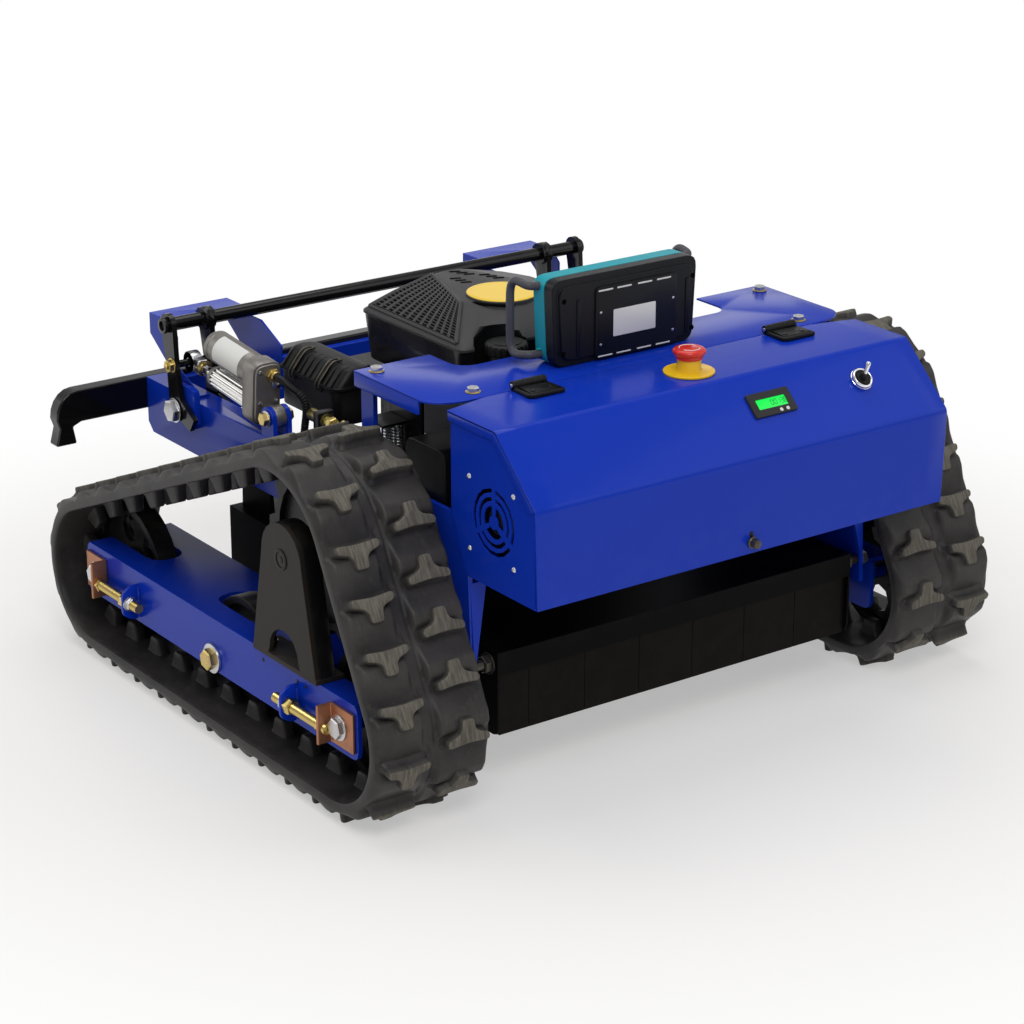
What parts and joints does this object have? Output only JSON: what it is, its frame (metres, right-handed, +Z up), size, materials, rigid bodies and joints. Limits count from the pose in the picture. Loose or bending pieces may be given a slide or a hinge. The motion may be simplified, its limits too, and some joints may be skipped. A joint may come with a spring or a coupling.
{
  "type": "remote control slope mower",
  "caption": "Tracked remote control slope mower with a folded hood, lifting mower deck under a vertical shaft engine, front flaps and a handset.",
  "frame": {"origin": "centre of the bounding box on the ground, under the tracks", "axes": "+X across the machine to its right when seen from the hood, +Y from the hood towards the rear bumper, +Z up"},
  "size_m": [0.924, 0.8812, 0.5623],
  "materials": {
    "blue_coat": "glossy blue powder coat",
    "black_coat": "satin black powder coat",
    "brown_plate": "dark brown-grey coat",
    "flap_steel": "matt brown-black",
    "track_rubber": "worn matt",
    "zinc_steel": "zinc plated",
    "chrome_steel": "polished",
    "cast_wheel": "painted cast iron",
    "motor_shell": "warm grey cast",
    "motor_black": "black painted cast",
    "engine_alloy": "cast alloy",
    "cowl_plastic": "textured dark grey",
    "case_plastic": "moulded black",
    "teal_plastic": "moulded teal",
    "panel_plastic": "moulded black",
    "yellow_plastic": "moulded yellow",
    "red_plastic": "moulded red",
    "meter_plastic": "moulded black with a green display",
    "hinge_cast": "black moulded",
    "blade_steel": "ground steel"
  },
  "bodies": {
    "frame": {"side_frame_left": "blue_coat", "side_frame_right": "blue_coat", "rear_cross_member": "blue_coat", "rear_bumper": "black_coat", "top_plate": "blue_coat", "hood_side_left": "blue_coat", "hood_side_right": "blue_coat", "hood_tray": "blue_coat", "battery_case": "case_plastic", "motor_controller": "zinc_steel", "track_frame_left": "blue_coat", "track_frame_right": "blue_coat", "bearing_plate_left": "brown_plate", "bearing_plate_right": "brown_plate", "track_belt_left": "track_rubber", "track_belt_right": "track_rubber", "drive_motor_left": "motor_black", "drive_motor_right": "motor_black", "rear_cover_left": "blue_coat", "rear_cover_right": "blue_coat", "front_rod": "zinc_steel", "actuator_body": "motor_shell"},
    "lid": {"hood_lid": "blue_coat", "hinge_leaf_left": "hinge_cast", "hinge_leaf_right": "hinge_cast", "stop_base": "yellow_plastic", "hour_meter": "meter_plastic", "key_switch": "chrome_steel"},
    "stop_button": {"stop_button": "red_plastic"},
    "key_lever": {"key_lever": "chrome_steel"},
    "lid_latch": {"lid_latch": "hinge_cast"},
    "lift": {"lift_bar": "black_coat", "lift_lever_outer_left": "black_coat", "lift_lever_outer_right": "black_coat"},
    "actuator_rod": {"actuator_rod": "chrome_steel"},
    "deck": {"deck_shell": "black_coat", "engine_block": "engine_alloy", "engine_cowl": "cowl_plastic", "air_filter_box": "case_plastic"},
    "blade": {"cutting_blade": "blade_steel"},
    "fuel_cap": {"fuel_cap": "case_plastic"},
    "handset": {"handset_shell": "teal_plastic", "handset_back": "panel_plastic"},
    "joystick_left": {"joystick_left": "panel_plastic"},
    "joystick_right": {"joystick_right": "panel_plastic"},
    "drive_sprocket_left": {"drive_sprocket_left": "cast_wheel"},
    "idler_front_left": {"idler_front_left": "cast_wheel"},
    "idler_rear_left": {"idler_rear_left": "cast_wheel"},
    "bottom_roller_left": {"bottom_roller_left": "cast_wheel"},
    "drive_sprocket_right": {"drive_sprocket_right": "cast_wheel"},
    "idler_front_right": {"idler_front_right": "cast_wheel"},
    "idler_rear_right": {"idler_rear_right": "cast_wheel"},
    "bottom_roller_right": {"bottom_roller_right": "cast_wheel"},
    "flap_1": {"front_flap_1": "flap_steel"},
    "flap_2": {"front_flap_2": "flap_steel"},
    "flap_3": {"front_flap_3": "flap_steel"},
    "flap_4": {"front_flap_4": "flap_steel"},
    "flap_5": {"front_flap_5": "flap_steel"},
    "flap_6": {"front_flap_6": "flap_steel"},
    "flap_7": {"front_flap_7": "flap_steel"}
  },
  "joints": [
    {"name": "lid_hinge", "type": "hinge", "parent": "frame", "child": "lid", "pos_m": [0, -0.24965, 0.465], "axis": [-1, 0, 0], "range_deg": [0, 70]},
    {"name": "stop_press", "type": "slide", "parent": "lid", "child": "stop_button", "axis": [0, 0, -1], "range_m": [0, 0.005]},
    {"name": "key_turn", "type": "hinge", "parent": "lid", "child": "key_lever", "pos_m": [0.201, -0.38342, 0.42981], "axis": [0, -0.6875, 0.7262], "range_deg": [0, 90]},
    {"name": "latch_turn", "type": "hinge", "parent": "lid", "child": "lid_latch", "pos_m": [0.007, -0.42865, 0.286], "axis": [0, -1, 0], "range_deg": [0, 90]},
    {"name": "lift_pivot", "type": "hinge", "parent": "frame", "child": "lift", "pos_m": [0, 0.31395, 0.306], "axis": [-1, 0, 0], "range_deg": [-24, 6]},
    {"name": "actuator_extend", "type": "slide", "parent": "frame", "child": "actuator_rod", "axis": [0, 0.9956, 0.0941], "range_m": [-0.0245, 0.0065]},
    {"name": "deck_hinge", "type": "hinge", "parent": "frame", "child": "deck", "pos_m": [0, -0.29365, 0.158], "axis": [1, 0, 0], "range_deg": [-3.2, 1]},
    {"name": "blade_spin", "type": "hinge", "parent": "deck", "child": "blade", "pos_m": [-0.02, 0.01735, 0.086], "axis": [0, 0, -1], "continuous": true},
    {"name": "cap_turn", "type": "hinge", "parent": "deck", "child": "fuel_cap", "pos_m": [-0.106, -0.10365, 0.455], "axis": [0, 0, 1], "continuous": true},
    {"name": "drive_sprocket_left_spin", "type": "hinge", "parent": "frame", "child": "drive_sprocket_left", "pos_m": [-0.384, -0.14365, 0.277], "axis": [-1, 0, 0], "continuous": true},
    {"name": "idler_front_left_spin", "type": "hinge", "parent": "frame", "child": "idler_front_left", "pos_m": [-0.384, -0.25665, 0.112], "axis": [-1, 0, 0], "continuous": true},
    {"name": "idler_rear_left_spin", "type": "hinge", "parent": "frame", "child": "idler_rear_left", "pos_m": [-0.384, 0.31425, 0.112], "axis": [-1, 0, 0], "continuous": true},
    {"name": "bottom_roller_left_spin", "type": "hinge", "parent": "frame", "child": "bottom_roller_left", "pos_m": [-0.384, 0.0288, 0.095], "axis": [-1, 0, 0], "continuous": true},
    {"name": "drive_sprocket_right_spin", "type": "hinge", "parent": "frame", "child": "drive_sprocket_right", "pos_m": [0.384, -0.14365, 0.277], "axis": [-1, 0, 0], "continuous": true},
    {"name": "idler_front_right_spin", "type": "hinge", "parent": "frame", "child": "idler_front_right", "pos_m": [0.384, -0.25665, 0.112], "axis": [-1, 0, 0], "continuous": true},
    {"name": "idler_rear_right_spin", "type": "hinge", "parent": "frame", "child": "idler_rear_right", "pos_m": [0.384, 0.31425, 0.112], "axis": [-1, 0, 0], "continuous": true},
    {"name": "bottom_roller_right_spin", "type": "hinge", "parent": "frame", "child": "bottom_roller_right", "pos_m": [0.384, 0.0288, 0.095], "axis": [-1, 0, 0], "continuous": true},
    {"name": "flap_1_swing", "type": "hinge", "parent": "frame", "child": "flap_1", "pos_m": [0, -0.29365, 0.158], "axis": [1, 0, 0], "range_deg": [0, 60]},
    {"name": "flap_2_swing", "type": "hinge", "parent": "frame", "child": "flap_2", "pos_m": [0, -0.29365, 0.158], "axis": [1, 0, 0], "range_deg": [0, 60]},
    {"name": "flap_3_swing", "type": "hinge", "parent": "frame", "child": "flap_3", "pos_m": [0, -0.29365, 0.158], "axis": [1, 0, 0], "range_deg": [0, 60]},
    {"name": "flap_4_swing", "type": "hinge", "parent": "frame", "child": "flap_4", "pos_m": [0, -0.29365, 0.158], "axis": [1, 0, 0], "range_deg": [0, 60]},
    {"name": "flap_5_swing", "type": "hinge", "parent": "frame", "child": "flap_5", "pos_m": [0, -0.29365, 0.158], "axis": [1, 0, 0], "range_deg": [0, 60]},
    {"name": "flap_6_swing", "type": "hinge", "parent": "frame", "child": "flap_6", "pos_m": [0, -0.29365, 0.158], "axis": [1, 0, 0], "range_deg": [0, 60]},
    {"name": "flap_7_swing", "type": "hinge", "parent": "frame", "child": "flap_7", "pos_m": [0, -0.29365, 0.158], "axis": [1, 0, 0], "range_deg": [0, 60]},
    {"name": "handset_lift_off", "type": "slide", "parent": "frame", "child": "handset", "axis": [0, 0, 1], "range_m": [0, 0.15]},
    {"name": "left_stick_tilt", "type": "hinge", "parent": "handset", "child": "joystick_left", "pos_m": [-0.072, -0.17465, 0.5163], "axis": [1, 0, 0], "range_deg": [-20, 20], "stiffness_Nm_per_rad": 0.5},
    {"name": "right_stick_tilt", "type": "hinge", "parent": "handset", "child": "joystick_right", "pos_m": [0.04, -0.17465, 0.5163], "axis": [0, 0, 1], "range_deg": [-20, 20], "stiffness_Nm_per_rad": 0.5}
  ],
  "couplings": [
    {"joint": "actuator_extend", "follows": "lift_pivot", "m_per_rad": 0.0576},
    {"joint": "deck_hinge", "follows": "lift_pivot", "ratio": 0.124},
    {"joint": "idler_front_left_spin", "follows": "drive_sprocket_left_spin", "ratio": 1.2662},
    {"joint": "idler_rear_left_spin", "follows": "drive_sprocket_left_spin", "ratio": 1.2662},
    {"joint": "bottom_roller_left_spin", "follows": "drive_sprocket_left_spin", "ratio": 1.7232},
    {"joint": "idler_front_right_spin", "follows": "drive_sprocket_right_spin", "ratio": 1.2662},
    {"joint": "idler_rear_right_spin", "follows": "drive_sprocket_right_spin", "ratio": 1.2662},
    {"joint": "bottom_roller_right_spin", "follows": "drive_sprocket_right_spin", "ratio": 1.7232}
  ]
}
